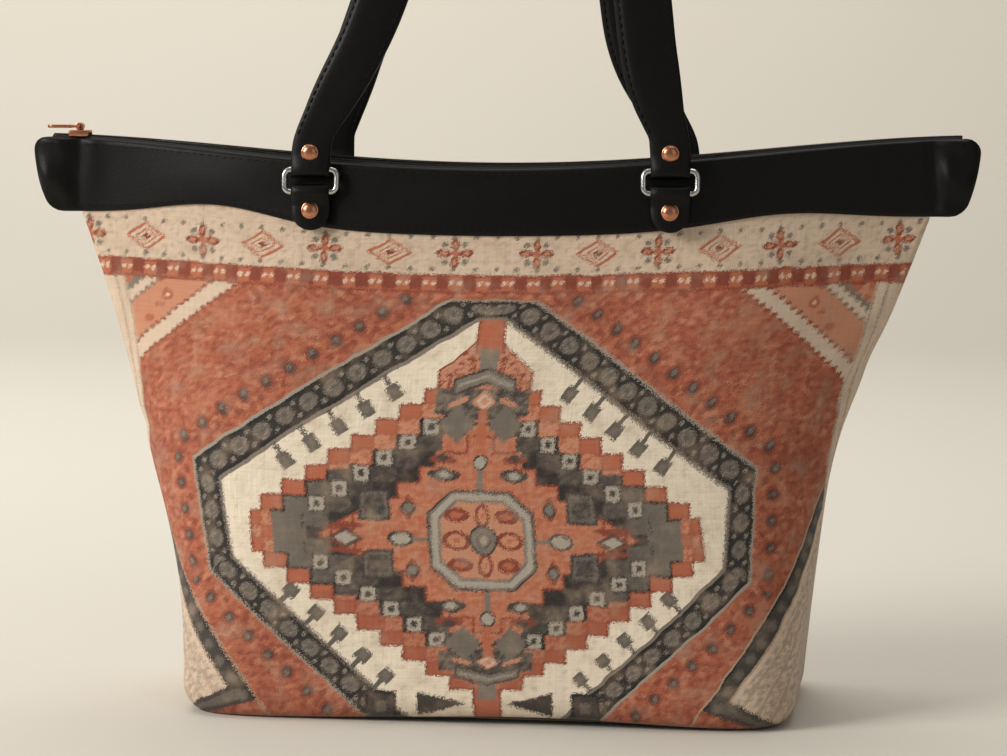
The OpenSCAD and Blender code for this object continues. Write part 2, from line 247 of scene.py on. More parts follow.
def add_node(tree, kind, inputs, **settings):
    """A shader node of a kind, with its settings made before its inputs are fed."""
    node = tree.nodes.new("ShaderNode" + kind)
    for title, value in settings.items():
        setattr(node, title, value)
    feed(tree, node, inputs)
    return node


def axes(tree, vector):
    """The three coordinates of a vector, each as a field."""
    return [Field(tree, socket) for socket in add_node(tree, "SeparateXYZ", {0: vector}).outputs]


class Field:
    """A value that changes over a surface: a socket of a node tree that arithmetic can be written with."""

    def __init__(self, tree, socket):
        self.tree = tree
        self.socket = socket

    def math(self, operation, *others):
        inputs = dict(enumerate((self, *others)))
        return Field(self.tree, add_node(self.tree, "Math", inputs, operation=operation).outputs[0])

    __add__ = partialmethod(math, "ADD")
    __sub__ = partialmethod(math, "SUBTRACT")
    __mul__ = __and__ = partialmethod(math, "MULTIPLY")
    __truediv__ = partialmethod(math, "DIVIDE")
    __lt__ = partialmethod(math, "LESS_THAN")
    __gt__ = partialmethod(math, "GREATER_THAN")
    __abs__ = partialmethod(math, "ABSOLUTE")
    above = __or__ = partialmethod(math, "MAXIMUM")
    below = partialmethod(math, "MINIMUM")
    floor = partialmethod(math, "FLOOR")

    def between(self, low, high):
        return self.math("COMPARE", (low + high) / 2, (high - low) / 2)

    def every(self, period, start=0.0):
        """Distance from the nearest of the places start, start + period and so on."""
        return (self - start).math("PINGPONG", period / 2)

    def far(self, other):
        """Distance from the origin of a point with these two coordinates."""
        return (self * self + other * other).math("SQRT")


def paint(tree, under, colour, mask):
    """Lays a colour, or a painted socket, over another where the mask says."""
    return add_node(tree, "Mix", {"Factor": mask, 6: under, 7: colour}, data_type="RGBA").outputs[2]


def speckle(tree, vector, scale, detail=2.0):
    node = add_node(tree, "TexNoise", {"Vector": vector, "Scale": scale, "Detail": detail})
    return Field(tree, node.outputs["Fac"])


def cells(tree, vector, scale, feature="F1"):
    node = add_node(tree, "TexVoronoi", {"Vector": vector, "Scale": scale}, feature=feature)
    return Field(tree, node.outputs["Distance"])


def new_group(name, inputs, outputs):
    group = bpy.data.node_groups.new(name, "ShaderNodeTree")
    for title, kind, value in inputs:
        socket = group.interface.new_socket(title, in_out="INPUT", socket_type=kind)
        if value is not None:
            socket.default_value = value
    for title, kind in outputs:
        group.interface.new_socket(title, in_out="OUTPUT", socket_type=kind)
    return group, group.nodes.new("NodeGroupInput"), group.nodes.new("NodeGroupOutput")


def make_weave_group():
    """Plain weave: threads over and under each other, as a height and a shade."""
    group, given, result = new_group(
        "plain_weave",
        [("Vector", "NodeSocketVector", None), ("Thread", "NodeSocketFloat", 0.0006)],
        [("Height", "NodeSocketFloat"), ("Shade", "NodeSocketFloat")])
    across, up, _ = axes(group, given.outputs["Vector"])
    pitch = Field(group, given.outputs["Thread"])
    warp = (across * math.pi / pitch).math("SINE")
    weft = (up * math.pi / pitch).math("SINE")
    slubs = []
    for long, short in ((60.0, 1300.0), (1300.0, 60.0)):
        streaks = add_node(group, "CombineXYZ", {0: across * long, 1: up * short})
        slubs.append(speckle(group, streaks.outputs[0], 1.0))
    slub = slubs[0] + slubs[1]
    height = warp * weft * 0.3 + slub * 0.35
    feed(group, result, {"Height": height, "Shade": warp * weft * 0.08 + slub * 0.5 + 0.42})
    return group


def make_grain_group():
    """Leather grain: fine pebbles broken by soft creases, with a slow change of gloss."""
    group, given, result = new_group(
        "leather_grain",
        [("Vector", "NodeSocketVector", None), ("Pebbles", "NodeSocketFloat", 900.0)],
        [("Height", "NodeSocketFloat"), ("Gloss", "NodeSocketFloat")])
    pebbles = cells(group, given.outputs["Vector"], given.outputs["Pebbles"], "DISTANCE_TO_EDGE")
    creases = speckle(group, given.outputs["Vector"], 160.0, 4.0)
    slow = speckle(group, given.outputs["Vector"], 18.0)
    height = (pebbles * 3.0).below(1.0) * 0.7 + creases * 0.3
    feed(group, result, {"Height": height, "Gloss": slow * 0.6 + creases * 0.4})
    return group


WEAVE = make_weave_group()
GRAIN = make_grain_group()


def new_material(name):
    """A material with its shader, its coordinates and its node tree."""
    material = bpy.data.materials.new(name)
    material.use_nodes = True
    tree = material.node_tree
    shader = tree.nodes["Principled BSDF"]
    coordinates = add_node(tree, "TexCoord", {})
    return material, tree, shader, coordinates


def roughen(tree, shader, height, depth, strength=1.0):
    bump = add_node(tree, "Bump", {"Height": height, "Distance": depth, "Strength": strength})
    feed(tree, shader, {"Normal": bump.outputs["Normal"]})


def ramp_value(tree, value, low, high):
    return add_node(tree, "MapRange", {"Value": value, "To Min": low, "To Max": high}).outputs["Result"]


def place_group(tree, group, vector, title, value):
    """Places a shared node group in a material, over its coordinates and with one value of its own."""
    return add_node(tree, "Group", {"Vector": vector, title: value}, node_tree=group)


def make_leather(name, dark, light, pebbles, gloss):
    material, tree, shader, coordinates = new_material(name)
    grain = place_group(tree, GRAIN, coordinates.outputs["Object"], "Pebbles", pebbles)
    colour = paint(tree, ink(dark), ink(light), Field(tree, grain.outputs["Gloss"]))
    roughness = ramp_value(tree, grain.outputs["Gloss"], gloss + 0.12, gloss - 0.1)
    feed(tree, shader, {"Base Color": colour, "Roughness": roughness, "Specular IOR Level": 0.19})
    roughen(tree, shader, grain.outputs["Height"], 0.00012, 0.5)
    return material


def make_metal(name, colour, roughness, tarnish):
    material, tree, shader, coordinates = new_material(name)
    worn = speckle(tree, coordinates.outputs["Object"], 420.0, 3.0)
    worn_colour = paint(tree, ink(colour), ink(tarnish), worn * worn)
    dulled = ramp_value(tree, worn, roughness - 0.06, roughness + 0.12)
    feed(tree, shader, {"Base Color": worn_colour, "Roughness": dulled, "Metallic": 1.0})
    roughen(tree, shader, worn, 0.00004, 0.3)
    return material


def make_plain_cloth(name, colour, shade, thread):
    material, tree, shader, coordinates = new_material(name)
    upright = {"Vector": coordinates.outputs["Object"], "Rotation": (math.radians(90), 0, 0)}
    turned = add_node(tree, "Mapping", upright)
    weave = place_group(tree, WEAVE, turned.outputs["Vector"], "Thread", thread)
    blotch = speckle(tree, coordinates.outputs["Object"], 40.0)
    pale = blotch * 0.5 + Field(tree, weave.outputs["Shade"]) * 0.5
    dyed = paint(tree, ink(shade), ink(colour), pale)
    feed(tree, shader, {"Base Color": dyed, "Roughness": 0.85, "Sheen Weight": 0.15})
    roughen(tree, shader, weave.outputs["Height"], 0.0002, 0.6)
    return material


# Print of the cloth: a medallion rug pattern in millimetres from its axis and from the bag's base

RUST, DARK_RUST, PEACH = ink("b8694b"), ink("8a4230"), ink("cb8c6d")
CREAM, SAND, LIGHT_CREAM = ink("dac3ac"), ink("b59c84"), ink("f0e2cc")
CHARCOAL, BLACK, GREY, PALE = ink("443d38"), ink("231e1b"), ink("80766b"), ink("afa698")
# KNOT is the side of a woven knot in metres
KNOT = 0.00035
HEART_V = 84.6
HEXAGON_V, CREAM_EDGE = 82.0, -13.6
ROSE_PITCH, CHAIN_PITCH, CHAIN_MIDDLE, POST_PITCH = 12.0, 12.4, -6.6, 14.3
STEP_V, STEP_X, STEP_Y = 86.0, 10.2, 7.4
BEAD_PITCH, BORDER_V, BORDER_PITCH, DOT_PITCH = 12.0, 211.6, 58.0, 9.67


class Print:
    """Colour of the cloth, built up layer by layer over its own coordinates."""

    def __init__(self, tree, chart):
        self.tree = tree
        across, up, _ = axes(tree, chart)
        knots = add_node(tree, "VectorMath", {0: chart, 1: (KNOT, KNOT, KNOT)}, operation="SNAP")
        shift = add_node(tree, "TexWhiteNoise", {"Vector": knots.outputs[0]}, noise_dimensions="2D")
        bleed = speckle(tree, chart, 620.0) * 1.1 + Field(tree, shift.outputs["Value"]) * 1.5 - 1.3
        drift = speckle(tree, chart, 70.0) * 2.4 - 1.2
        u = across * 1000.0 + bleed + drift
        self.run = abs(u)
        self.x = abs(u - 4.3) * 0.988 + u * 0.048
        self.v = up * 1000.0 + bleed - drift
        self.flat = add_node(tree, "CombineXYZ", {0: self.x * 0.75, 1: self.v}).outputs[0]
        self.mottle = speckle(tree, self.flat, 0.42, 3.0)
        self.colour = RUST

    def lay(self, colour, mask):
        self.colour = paint(self.tree, self.colour, colour, mask)

    def nest(self, distance, *rings, within=None):
        """Lays colours one inside the other, each out to its own distance and at its own strength."""
        for colour, reach, *strength in rings:
            mask = distance < reach
            if within is not None:
                mask = within & mask
            self.lay(colour, mask * strength[0] if strength else mask)

    def soften(self, value, low, high):
        """Goes smoothly from 0 at the low value to 1 at the high one."""
        limits = {"Value": value, "From Min": low, "From Max": high}
        node = add_node(self.tree, "MapRange", limits, interpolation_type="SMOOTHSTEP")
        return Field(self.tree, node.outputs["Result"])


def lay_field(cloth):
    """Rust ground with worn flower rings, pale flecks and wide paler and darker clouds."""
    flowers = cells(cloth.tree, cloth.flat, 0.13)
    cloud = speckle(cloth.tree, cloth.flat, 0.045, 3.0)
    cloth.lay(DARK_RUST, cloth.soften(cloth.mottle, 0.38, 0.68) * 0.85)
    cloth.lay(DARK_RUST, flowers.between(0.3, 0.42) * 0.45)
    cloth.lay(PEACH, (flowers < 0.17) * 0.6)
    cloth.lay(PEACH, cloth.soften(speckle(cloth.tree, cloth.flat, 0.3), 0.5, 0.72) * 0.75)
    cloth.lay(DARK_RUST, cloth.soften(cloud, 0.5, 0.74) * 0.55)
    cloth.lay(PEACH, cloth.soften(cloud, 0.46, 0.26) * 0.45)


def lay_upper_corners(cloth):
    """A stepped cream band across each upper corner, with a peach corner outside it."""
    stair = (cloth.x / 3.0).floor() * 3.0
    out = stair * 0.621 + cloth.v * 0.784 - 231.0
    cloth.lay(PEACH, out > 7.0)
    motifs = cells(cloth.tree, cloth.flat, 0.15)
    cloth.lay(RUST, (out > 8.0) & (motifs < 0.36))
    cloth.lay(CREAM, (out > 8.0) & (motifs < 0.13))
    cloth.lay(CREAM, out.between(0.0, 7.0))
    cloth.lay(DARK_RUST, out.between(-0.9, 0.0) | out.between(7.0, 8.0))
    cloth.lay(CREAM, out.between(25.0, 29.0))
    cloth.lay(GREY, out.between(29.0, 32.0) | out.between(24.0, 25.0))


def lay_lower_corners(cloth):
    """A charcoal band across each lower corner and a leaf under it, with mottled cream between."""
    out = cloth.x * 0.812 - cloth.v * 0.584 - 77.3
    along = (cloth.x * 0.584 + cloth.v * 0.812).every(9.0)
    wedge = cloth.v + cloth.x * 0.45 - 65.4
    leaf_foot = cloth.v + cloth.x * 0.3 - 40.0
    band = out.between(0.0, 8.0) & (leaf_foot > 0.0)
    cloth.lay(CREAM, (out > 8.0) & (wedge > 0.0))
    cloth.lay(GREY, (out > 10.5) & (wedge > 0.0) & cloth.soften(cloth.mottle, 0.42, 0.62) * 0.6)
    cloth.lay(SAND, (out > 12.0) & (wedge > 0.0) & (out.every(7.0) < 0.7) * 0.8)
    cloth.lay(CHARCOAL, band | (out > 0.0) & (wedge < 0.0) & (leaf_foot > 0.0))
    cloth.lay(GREY, band & cloth.soften((along / 3.4).far((out - 4.2) / 3.0), 1.0, 0.4) * 0.6)
    cloth.lay(GREY, (out > 4.0) & (wedge < -2.0) & (leaf_foot > 2.0) * 0.45)
    cloth.lay(SAND, out.between(-0.9, 0.0) | out.between(7.4, 8.4) & (wedge > 0.0))
    cloth.lay(BLACK, out.between(0.0, 1.0) & (leaf_foot > 0.0))


def lay_hexagon(cloth):
    """A long hexagon of cream inside a charcoal chain border, with rosettes round it and squares within."""
    x, y = cloth.x, cloth.v - HEXAGON_V
    upper = (x * 0.586 + y * 0.81 - 106.9) * 0.8
    lower = x * 0.679 - y * 0.7346 - 95.7
    side = x - y * 0.13 - 126.7
    is_upper = upper > lower.above(side)
    is_lower = lower > side
    edge = upper.above(lower).above(side).above((y - 117.0) * 1.4)
    along = y + (x * 0.7346 + y * 0.679 - y) * is_lower
    along = along + (x * 0.81 - y * 0.586 - along) * is_upper
    rose = along.every(ROSE_PITCH)
    cloth.nest(rose.far(edge - 8.5), (DARK_RUST, 3.6, 0.7), (CHARCOAL, 2.4, 0.8))
    cloth.nest(rose.far(edge - 9.2), (GREY, 1.2, 0.8))
    cloth.nest(along.every(ROSE_PITCH, ROSE_PITCH / 2).far(edge - 4.0), (DARK_RUST, 1.5, 0.8))
    cloth.lay(CHARCOAL, edge < 0.0)
    link, off_chain = along.every(CHAIN_PITCH), edge - CHAIN_MIDDLE
    oval = (link / 5.0).far(off_chain / 4.1)
    cloth.lay(BLACK, (edge < 0.0) & (oval > 0.86) * 0.7)
    cloth.nest(oval, (GREY, 0.86, 0.6))
    cloth.lay(PALE, (oval < 0.8) & cloth.soften(speckle(cloth.tree, cloth.flat, 0.7), 0.5, 0.66) * 0.5)
    cloth.nest(oval, (CHARCOAL, 0.26, 0.5))
    cloth.nest((link - CHAIN_PITCH / 2).far(abs(off_chain) - 2.9), (PALE, 1.0, 0.55))
    cloth.lay(BLACK, edge.between(-2.4, -1.2) | edge.between(-12.0, -10.7))
    cloth.lay(PALE, edge.between(-1.2, 0.0) * 0.8)
    cloth.lay(GREY, edge.between(CREAM_EDGE, -12.0))
    inside = edge < CREAM_EDGE
    cloth.lay(LIGHT_CREAM, inside)
    cloth.lay(SAND, inside & cloth.soften(cloth.mottle, 0.5, 0.72) * 0.4)
    post = along.every(POST_PITCH, -9.0)
    rows = (is_upper | is_lower) & along.between(-14.0, 54.0)
    square = post.above(abs(edge + 20.5))
    cloth.lay(CHARCOAL, ((post < 1.0) & edge.between(-19.0, -13.0) | (square < 3.1)) & rows * 0.9)
    cloth.lay(GREY, (square < 1.5) & rows * 0.6)
    foot = abs(x - 47.0).above(abs(cloth.v - 7.0))
    cloth.nest(foot, (BLACK, 6.8), (CHARCOAL, 5.4), (GREY, 2.4, 0.6))
    wedge = abs(cloth.v - 8.0) * 4.2 - x + 9.0
    cloth.lay(CHARCOAL, (wedge < 0.0) & (x < 31.0) & (cloth.v < 14.0))
    return inside


def from_middle(cloth):
    """Height above or below the middle of the stepped diamonds, whose lower half is a little shorter."""
    rise = cloth.v - STEP_V
    return abs(rise) * ((rise < 0.0) * 0.07 + 1.0)


def lay_steps(cloth, inside):
    """Stepped diamonds one inside the other, with a row of pale squares on the charcoal one."""
    x, y = cloth.x, from_middle(cloth)
    wide, tall = (x + 3.3) / STEP_X, (y + 4.6) / STEP_Y
    column, row = wide.floor(), tall.floor()
    step = column + row
    grown = (wide + 0.1).floor() + (tall + 0.11).floor()
    tip = y < 30.0
    outer = (step < 11.5) & (x < 104.0) & inside
    roof = x + (y - 78.0).above(0.0) * 1.1 + (y - 66.0).above(0.0) * (cloth.v < STEP_V) * 1.4
    cloth.lay(DARK_RUST, outer | (roof < 22.0) & y.between(62.0, 92.0) & inside)
    cloth.lay(RUST, outer)
    cloth.lay(PEACH, step.between(9.6, 10.4) & outer & (cloth.mottle < 0.54))
    cloth.lay(PEACH, (roof < 20.8) & y.between(62.0, 92.0) & inside & (cloth.mottle < 0.56))
    line = (wide - column).math("PINGPONG", 0.5) * STEP_X
    line = line.below((tall - row).math("PINGPONG", 0.5) * STEP_Y) < 0.55
    cloth.lay(DARK_RUST, ((grown > 11.5) | (x > 102.8)) & outer | line & outer * 0.45)
    # Painted shade: dark rust laid over the outer diamond below 60 mm, for the dimmer light on the lower
    # body
    cloth.lay(DARK_RUST, outer & (cloth.v < 60.0) * 0.35)
    dark = (step - tip < 9.5) & (x < 94.0)
    cloth.lay(CHARCOAL, dark)
    cloth.lay(GREY, dark & cloth.soften(x, 50.0, 95.0) * 0.8)
    cloth.lay(GREY, dark & cloth.soften(cloth.mottle, 0.46, 0.64) * 0.4)
    cloth.lay(BLACK, dark & (step < 7.5) * 0.75)
    cloth.lay(BLACK, dark & (grown - tip > 9.5))
    square = (abs(wide - column - 0.5) * STEP_X).above(abs(tall - row - 0.5) * STEP_Y)
    bead = step.between(8.5, 9.5) & (x < 80.0) & (x > 16.0)
    cloth.nest(square, (BLACK, 3.8), (PALE, 3.3), (CHARCOAL, 1.4), within=bead)
    heart = (step < 7.5) & (x.between(20.0, 56.0) & (step > 6.5)).math("LESS_THAN", 0.5)
    point = abs(x - 54.6) / 20.0 + y / 11.5
    heart = heart & (x < 55.0) | (point < 1.0)
    cloth.lay(RUST, heart)
    cloth.lay(PEACH, heart & cloth.soften(cloth.mottle, 0.62, 0.36) * 0.75)
    cloth.lay(DARK_RUST, heart & (grown > 6.5) & (step < 6.5))
    cloth.lay(DARK_RUST, point.between(0.9, 1.0) & (x > 55.0))
    block = abs(x - 47.6).above(abs(y - 14.0))
    cloth.lay(CHARCOAL, block < 7.2)
    cloth.lay(GREY, block.between(4.6, 5.8) * 0.6)
    cloth.lay(GREY, (block < 5.8) & cloth.soften(cloth.mottle, 0.4, 0.6) * 0.4)


def lay_crowns(cloth, inside):
    """The tower, gable, lozenge and two stepped wings at the top and foot of the stepped diamonds."""
    x, y = cloth.x, from_middle(cloth)
    y = y + (y - 56.0).above(0.0) * (cloth.v < STEP_V) * 0.3
    tower = (x < 6.6) & y.between(86.0, 104.0) & inside
    cloth.lay(DARK_RUST, tower)
    cloth.lay(RUST, tower & (x < 5.6))
    bar = (x < 21.5) & y.between(57.0, 69.4)
    cloth.lay(CHARCOAL, bar)
    cloth.lay(GREY, bar & cloth.soften(cloth.mottle, 0.42, 0.6) * 0.7)
    cloth.lay(GREY, (x < 4.4) & y.between(76.0, 89.0))
    gable = y + x * 0.4
    cloth.lay(CHARCOAL, gable.between(72.0, 80.2) & (x < 15.0))
    cloth.lay(GREY, gable.between(73.2, 79.0) & (x < 14.0))
    cloth.lay(PALE, gable.between(75.4, 76.8) & (x < 12.5) * 0.7)
    lozenge = x / 5.6 + abs(y - 63.6) / 5.6
    cloth.lay(PEACH, lozenge < 1.0)
    cloth.lay(CREAM, lozenge.between(0.4, 0.72) * 0.8)
    cloth.lay(PEACH, (abs(x - 11.5) < 4.2) & gable.between(66.6, 69.2))
    wing = abs((x - 10.0).math("SNAP", 2.0)) / 9.5 + abs((y - 51.6).math("SNAP", 2.0)) / 10.0
    cloth.nest(wing, (CHARCOAL, 1.0), (GREY, 0.84, 0.75))
    cloth.lay(RUST, (x < 2.2) & y.between(42.0, 60.0))


def lay_heart(cloth):
    """The octagon ring with its flower, the stems, eyes, dots and lozenges round it."""
    x, y = cloth.x, abs(cloth.v - HEART_V)
    brow = (y - 30.2) / 3.1
    eye = abs(x - 16.2) / 7.0 + brow * brow
    cloth.nest(eye, (CHARCOAL, 1.0), (GREY, 0.55), (PALE, 0.32))
    cloth.nest(((x - 17.0) / 6.2).far((y - 37.4) / 2.0), (DARK_RUST, 1.0, 0.9))
    cloth.nest(((x - 16.8) / 2.8).far((y - 38.2) / 1.7), (CHARCOAL, 1.0, 0.9))
    dot_x, dot_y = x - 32.6, y - 14.4
    cloth.nest(abs(dot_x) / 3.8 + abs(dot_y) / 6.2, (DARK_RUST, 1.0, 0.9))
    cloth.nest(dot_x.far(dot_y), (CHARCOAL, 3.1), (GREY, 2.2))
    cloth.nest(((x - 36.8) / 5.0).far(y / 3.0), (CHARCOAL, 1.2), (PALE, 0.85))
    cloth.lay(GREY, x.between(24.0, 32.0) & (y < 0.9))
    lozenge = abs(x - 61.5) / 8.5 + y / 4.6
    cloth.nest(lozenge, (CHARCOAL, 1.0, 0.8), (PALE, 0.62))
    cloth.lay(DARK_RUST, (abs(x - 61.5) / 9.0).far((y - 5.6) / 1.3) < 1.0)
    cloth.lay(GREY, (x < 1.5) & y.between(20.0, 36.0))
    cloth.nest(x.far(y - 36.0), (CHARCOAL, 3.8), (PALE, 2.9))
    tall = y * 1.08
    ring = x.above(tall).above((x + tall) * 0.645)
    cloth.nest(ring, (CHARCOAL, 24.9), (GREY, 24.0))
    cloth.lay(PALE, ring.between(20.2, 23.0))
    cloth.lay(PEACH, ring < 18.9)
    hook = ((x - 11.4) / 5.6).far((y - 11.4) / 3.2)
    cloth.nest(hook, (DARK_RUST, 1.0), (RUST, 0.5))
    petal = ((x - 12.4) / 6.2).far(y / 4.4).below((x / 3.6).far((y - 11.2) / 5.8))
    cloth.nest(petal, (DARK_RUST, 1.0), (PEACH, 0.66), (RUST, 0.24))
    flower = x.far(y)
    cloth.nest(flower, (CHARCOAL, 6.9), (GREY, 5.9))
    cloth.lay(CHARCOAL, flower.between(2.9, 3.7) * 0.7)
    cloth.nest(flower, (PALE, 2.0, 0.8))


def lay_sides(cloth):
    """A plain cream strip with two grey lines where each panel meets the side seam."""
    bend = cloth.v - 118.0
    rim = cloth.run - bend * bend * 0.0015 - 181.5
    cloth.lay(CREAM, rim > -10.0)
    cloth.lay(GREY, (rim.between(-9.6, -8.8) | rim.between(-5.0, -4.2)) * 0.7)


def lay_borders(cloth):
    """The cream border of flowers and diamonds under the band, and the beaded stripe below it."""
    x, v = cloth.x, cloth.v
    cloth.lay(RUST, v > 203.0)
    cloth.lay(DARK_RUST, (x.every(BEAD_PITCH) < 3.0) & v.between(204.0, 210.5))
    cloth.nest(abs(x.every(BEAD_PITCH, BEAD_PITCH / 2) - 1.7).far(v - 207.4), (CREAM, 1.15))
    cloth.lay(DARK_RUST, v.between(202.4, 203.4) | v.between(210.6, BORDER_V))
    border = v > BORDER_V
    cloth.lay(CREAM, border)
    cloth.lay(SAND, border & cloth.soften(cloth.mottle, 0.48, 0.66) * 0.6)
    high = abs(v - 222.4)
    flower, diamond = x.every(BORDER_PITCH, 19.0), x.every(BORDER_PITCH, 48.0)
    petals = (flower / 1.9).far((high - 4.6) / 3.2).below(((flower - 4.9) / 3.4).far(high / 1.9))
    cloth.nest((flower - 4.4).far(high - 4.4), (GREY, 1.5), within=border)
    cloth.nest(petals, (DARK_RUST, 1.0), (PEACH, 0.5), within=border)
    cloth.nest(flower.far(high), (RUST, 1.9), within=border)
    lozenge = diamond / 10.5 + high / 7.0
    cloth.lay(RUST, border & (lozenge.between(0.78, 1.0) | lozenge.between(0.42, 0.54)))
    cloth.nest(lozenge, (DARK_RUST, 0.24), within=border)
    cloth.nest(x.every(DOT_PITCH).far(high - 8.2), (GREY, 1.15), within=border)


def make_printed_cloth():
    material, tree, shader, _ = new_material("printed_cloth")
    chart = add_node(tree, "UVMap", {}, uv_map="print")
    cloth = Print(tree, chart.outputs[0])
    lay_field(cloth)
    lay_upper_corners(cloth)
    lay_lower_corners(cloth)
    inside = lay_hexagon(cloth)
    lay_steps(cloth, inside)
    lay_crowns(cloth, inside)
    lay_heart(cloth)
    lay_sides(cloth)
    lay_borders(cloth)
    worn = speckle(tree, chart.outputs[0], 90.0, 5.0)
    cloth.lay(SAND, cloth.soften(worn, 0.45, 0.8) * 0.45)
    weave = place_group(tree, WEAVE, chart.outputs[0], "Thread", 0.0007)
    layers = {"Factor": 0.6, 6: cloth.colour, 7: weave.outputs["Shade"]}
    shaded = add_node(tree, "Mix", layers, data_type="RGBA", blend_type="MULTIPLY")
    feed(tree, shader, {"Base Color": shaded.outputs[2], "Roughness": 0.88, "Sheen Weight": 0.1})
    roughen(tree, shader, weave.outputs["Height"], 0.00025, 0.55)
    return material


PRINTED = make_printed_cloth()
BASE_CLOTH = make_plain_cloth("base_cloth", "4a433c", "2c2723", 0.0008)
LINING_CLOTH = make_plain_cloth("lining_cloth", "c9b89c", "a8977c", 0.0005)
TAPE_CLOTH = make_plain_cloth("zip_tape", "1c1a18", "0e0d0c", 0.0005)
LEATHER = make_leather("black_leather", "030303", "070606", 1100.0, 0.42)
THREAD = make_leather("black_thread", "060606", "0c0b0b", 2600.0, 0.6)
COIL = make_leather("zip_coil", "141312", "22201e", 1800.0, 0.38)
COPPER = make_metal("copper", "cf9172", 0.27, "8f5138")
NICKEL = make_metal("nickel", "cfcfcb", 0.2, "8b8a86")
BOARD = make_leather("board", "6e6152", "8a7a66", 500.0, 0.8)


# Cloth of the body

SIDES = {"front": 1, "back": -1}


def sway(z):
    """How far the middle of the body leans to its left between the base and the band."""
    return -5.5 * MM * bell(z, 0.125, 0.05)


def hem_lift(x, z, side):
    """How far the hem lifts off the table halfway along each long side."""
    return mix(1.5, 3.5, side > 0) * MM * bell(x, 0.02, 0.075) * bell(z, 0.0, 0.03)


def cloth_swell(run, half_run, z, side):
    """How far the soft cloth stands out of, or sinks below, its plain shape."""
    fade = 1 - smooth((z - 0.212) / 0.02)
    out = 2.2 * MM * bell(run, 0.02 * side, 0.11) * bell(z, 0.10, 0.07)
    out += 1.1 * MM * math.sin(run * 62 + 0.9 * side) * smooth((z - 0.13) / 0.06) * fade
    out += 0.7 * MM * math.sin(run * 55 + 2.1 * side) * bell(z, 0.03, 0.03)
    crease = 0.170 + (z - 0.148) * 0.67
    out -= 1.8 * MM * bell(run * side, crease, 0.006) * bell(z, 0.162, 0.03)
    out += 1.4 * MM * bell(run * side, crease - 0.014, 0.009) * bell(z, 0.166, 0.035)
    out -= 1.2 * MM * bell(z, 0.127 - run * side * 0.02, 0.006) * smooth((-run * side - 0.12) / 0.04)
    out -= 1.0 * MM * bell(half_run - abs(run), 0.0, 0.0025) * fade
    return out * fade if out > 0 else out


def make_panel(name, side):
    """One half of the body: cloth from side seam to side seam, from the hem up into the leather band."""
    columns, rows = 150, 96
    heights = [mix(BASE_T, TUCK_Z, (j / rows) ** 1.06) for j in range(rows + 1)]
    table = [front_section(z, 0.0, columns) for z in heights]

    def place(s, t):
        i, j = round(s * columns), round(t * rows)
        z, row = heights[j], table[j]
        before, after = row[max(0, i - 1)], row[min(columns, i + 1)]
        along = Vector((after[0] - before[0], after[1] - before[1])).normalized()
        out = cloth_swell(row[i][2], row[0][2], z, side)
        x = row[i][0] - along.y * out
        y = row[i][1] + along.x * out
        lift = hem_lift(x * side, z, side)
        return Vector((x * side + sway(z), y * side, z - sag(x, z) + lift))

    def chart(s, t):
        j = round(t * rows)
        return table[j][round(s * columns)][2], heights[j]

    bm = shaped_grid(columns, rows, place, chart)
    face_way(bm, Vector((0, -side, 0)))
    area = area_of(bm)
    piece = finish_piece(f"{name}_panel_cloth", bm, PRINTED, "bag", [f"{name}_panel"])
    thicken(piece, CLOTH_T)


def make_base():
    """The bag's underside, a soft rectangle whose rim meets the hem of the panels."""
    columns = 120

    def place(s, t):
        x, y = wall_point(2 * math.pi * s, BASE_T, 0.0)
        lift = hem_lift(x, 0.0, 1 if y < 0 else -1) * t ** 8
        return Vector((x * t, y * t, mix(0.6 * MM, 0.0, t) + lift))

    bm = shaped_grid(columns, 12, place)
    merge_seam(bm)
    face_way(bm, Vector((0, 0, -1)))
    area = area_of(bm)
    piece = finish_piece("base_cloth", bm, BASE_CLOTH, "bag", ["base_panel"])
    thicken(piece, BASE_T)


def make_lining():
    """Plain cloth inside the body, loose from the panels and gathered a little in its corners."""
    columns, rows = 220, 60
    low, high = FLOOR_Z, RIM_Z - LINING_DROP

    def place(s, t):
        z = mix(low, high, t)
        angle = 2 * math.pi * s
        inset = CLOTH_T + LINING_GAP + 0.8 * MM * (1 + math.sin(angle * 9 + z * 40)) * bell(z, 0.12, 0.07)
        x, y = wall_point(angle, z, inset)
        return Vector((x + sway(z), y, z - sag(x, z)))

    bm = shaped_grid(columns, rows, place)
    bmesh.ops.remove_doubles(bm, verts=bm.verts, dist=MERGE_GAP)
    rim = [edge for edge in bm.edges if edge.is_boundary and max(v.co.z for v in edge.verts) < low + 1e-4]
    bmesh.ops.holes_fill(bm, edges=rim, sides=0)
    bmesh.ops.recalc_face_normals(bm, faces=bm.faces)
    area = area_of(bm)
    piece = finish_piece("lining_cloth", bm, LINING_CLOTH, "bag", ["lining"])
    thicken(piece, LINING_T)


# Leather band round the mouth

def band_loop(t):
    """Share of the band's height, and share of its thickness, at a share of the way round its section."""
    nose = BAND_T / 2 / BAND_H
    if t < 0.42:
        return mix(nose, 1 - nose, t / 0.42), 1.0
    if t < 0.5:
        turn = math.pi * (t - 0.42) / 0.08
        return 1 - nose + nose * math.sin(turn), 0.5 + 0.5 * math.cos(turn)
    if t < 0.92:
        return mix(1 - nose, nose, (t - 0.5) / 0.42), 0.0
    turn = math.pi * (t - 0.92) / 0.08
    return nose - nose * math.sin(turn), 0.5 - 0.5 * math.cos(turn)


